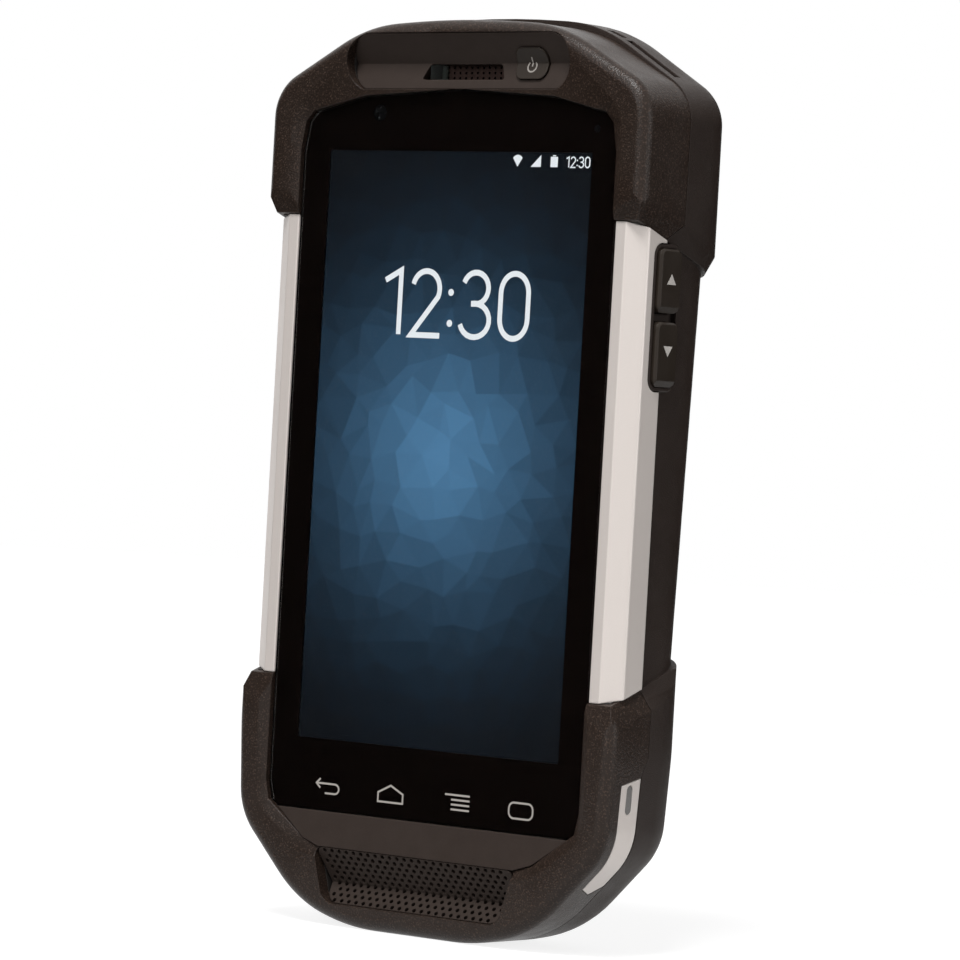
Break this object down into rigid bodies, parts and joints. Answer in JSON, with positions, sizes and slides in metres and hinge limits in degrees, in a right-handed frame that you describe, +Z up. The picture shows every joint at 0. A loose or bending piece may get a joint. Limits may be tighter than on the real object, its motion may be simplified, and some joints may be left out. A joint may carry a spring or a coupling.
{
  "type": "portable barcode data terminal",
  "caption": "Rugged hand-held touch terminal with rubber bumpers, light side rails, a speaker grille, side keys and a tilt-out battery pack.",
  "frame": {"origin": "middle of the foot, on the plane the terminal stands on", "axes": "+X to the right as seen from the front, +Y to the back, +Z up along the length"},
  "size_m": [0.084, 0.027, 0.1605],
  "materials": {
    "bumper": "fine sparkling grain, matt",
    "housing": "fine moulded grain",
    "inner_frame": "moulded, matt",
    "rail": "satin light grey",
    "trim": "satin light grey",
    "trim_slot": "smooth grey",
    "cover_glass": "polished, black border behind",
    "window_glass": "polished dark",
    "film": "clear film",
    "display": "dark panel",
    "gasket": "matt foam",
    "flex": "polyimide film",
    "metal_frame": "as rolled",
    "bezel": "smooth satin",
    "mesh": "blackened",
    "light_pipe": "clear",
    "button": "smooth matt",
    "key": "smooth matt",
    "switch": "plain",
    "component": "moulded",
    "lens": "polished",
    "seal": "smooth",
    "screw": "black oxide",
    "battery": "fine moulded grain",
    "cell": "foil pouch",
    "contact": "gold plated",
    "lock": "satin grey",
    "board": "lacquered",
    "shield": "tinned",
    "antenna": "plated"
  },
  "bodies": {
    "terminal": {"front_housing": "inner_frame", "upper_bumper": "bumper", "lower_bumper": "bumper", "side_rail_right": "rail", "side_rail_left": "rail", "lower_trim_right": "trim", "lower_trim_left": "trim", "trim_slot_inserts": "trim_slot", "cover_glass": "cover_glass", "touch_panel": "film", "display_gasket": "gasket", "display_module": "display", "display_flex": "flex", "mid_frame": "metal_frame", "lower_bezel": "bezel", "earpiece_bezel": "bezel", "earpiece_mesh": "mesh", "earpiece_receiver": "component", "status_light_pipe": "light_pipe", "power_switch": "switch", "front_camera": "lens", "light_sensor": "lens", "speaker_grille": "bezel", "loudspeaker": "component", "volume_switches": "switch", "trigger_switches": "switch", "housing_seal": "seal", "rear_housing": "housing", "housing_screws": "screw", "battery_contacts": "contact", "main_board": "board", "board_shields": "shield", "scan_engine": "component", "scan_window": "window_glass", "rear_camera": "component", "camera_flash": "light_pipe", "camera_window": "window_glass", "dock_contacts": "contact", "microphone": "component", "vibration_motor": "shield", "antennas": "antenna"},
    "power_button": {"power_button": "button"},
    "volume_up": {"volume_up_key": "key"},
    "volume_down": {"volume_down_key": "key"},
    "scan_key": {"scan_key": "key"},
    "talk_key": {"talk_key": "key"},
    "battery_pack": {"battery_case": "battery", "battery_end_cap": "battery", "battery_lid": "battery", "battery_pads": "contact", "battery_cell": "cell"},
    "battery_lock": {"battery_lock": "lock"}
  },
  "joints": [
    {"name": "power_press", "type": "slide", "parent": "terminal", "child": "power_button", "axis": [0, 1, 0], "range_m": [0, 0.0005], "stiffness_N_per_m": 1000, "springref_m": -0.0005},
    {"name": "volume_up_press", "type": "slide", "parent": "terminal", "child": "volume_up", "axis": [-1, 0, 0], "range_m": [0, 0.0005], "stiffness_N_per_m": 1000, "springref_m": -0.0005},
    {"name": "volume_down_press", "type": "slide", "parent": "terminal", "child": "volume_down", "axis": [-1, 0, 0], "range_m": [0, 0.0005], "stiffness_N_per_m": 1000, "springref_m": -0.0005},
    {"name": "scan_press", "type": "slide", "parent": "terminal", "child": "scan_key", "axis": [1, 0, 0], "range_m": [0, 0.0005], "stiffness_N_per_m": 1000, "springref_m": -0.0005},
    {"name": "talk_press", "type": "slide", "parent": "terminal", "child": "talk_key", "axis": [1, 0, 0], "range_m": [0, 0.0005], "stiffness_N_per_m": 1000, "springref_m": -0.0005},
    {"name": "battery_tilt", "type": "hinge", "parent": "terminal", "child": "battery_pack", "pos_m": [0, 0.0081, 0.029], "axis": [-1, 0, 0], "range_deg": [0, 35]},
    {"name": "battery_lock_slide", "type": "slide", "parent": "terminal", "child": "battery_lock", "axis": [1, 0, 0], "range_m": [0, 0.004]}
  ]
}
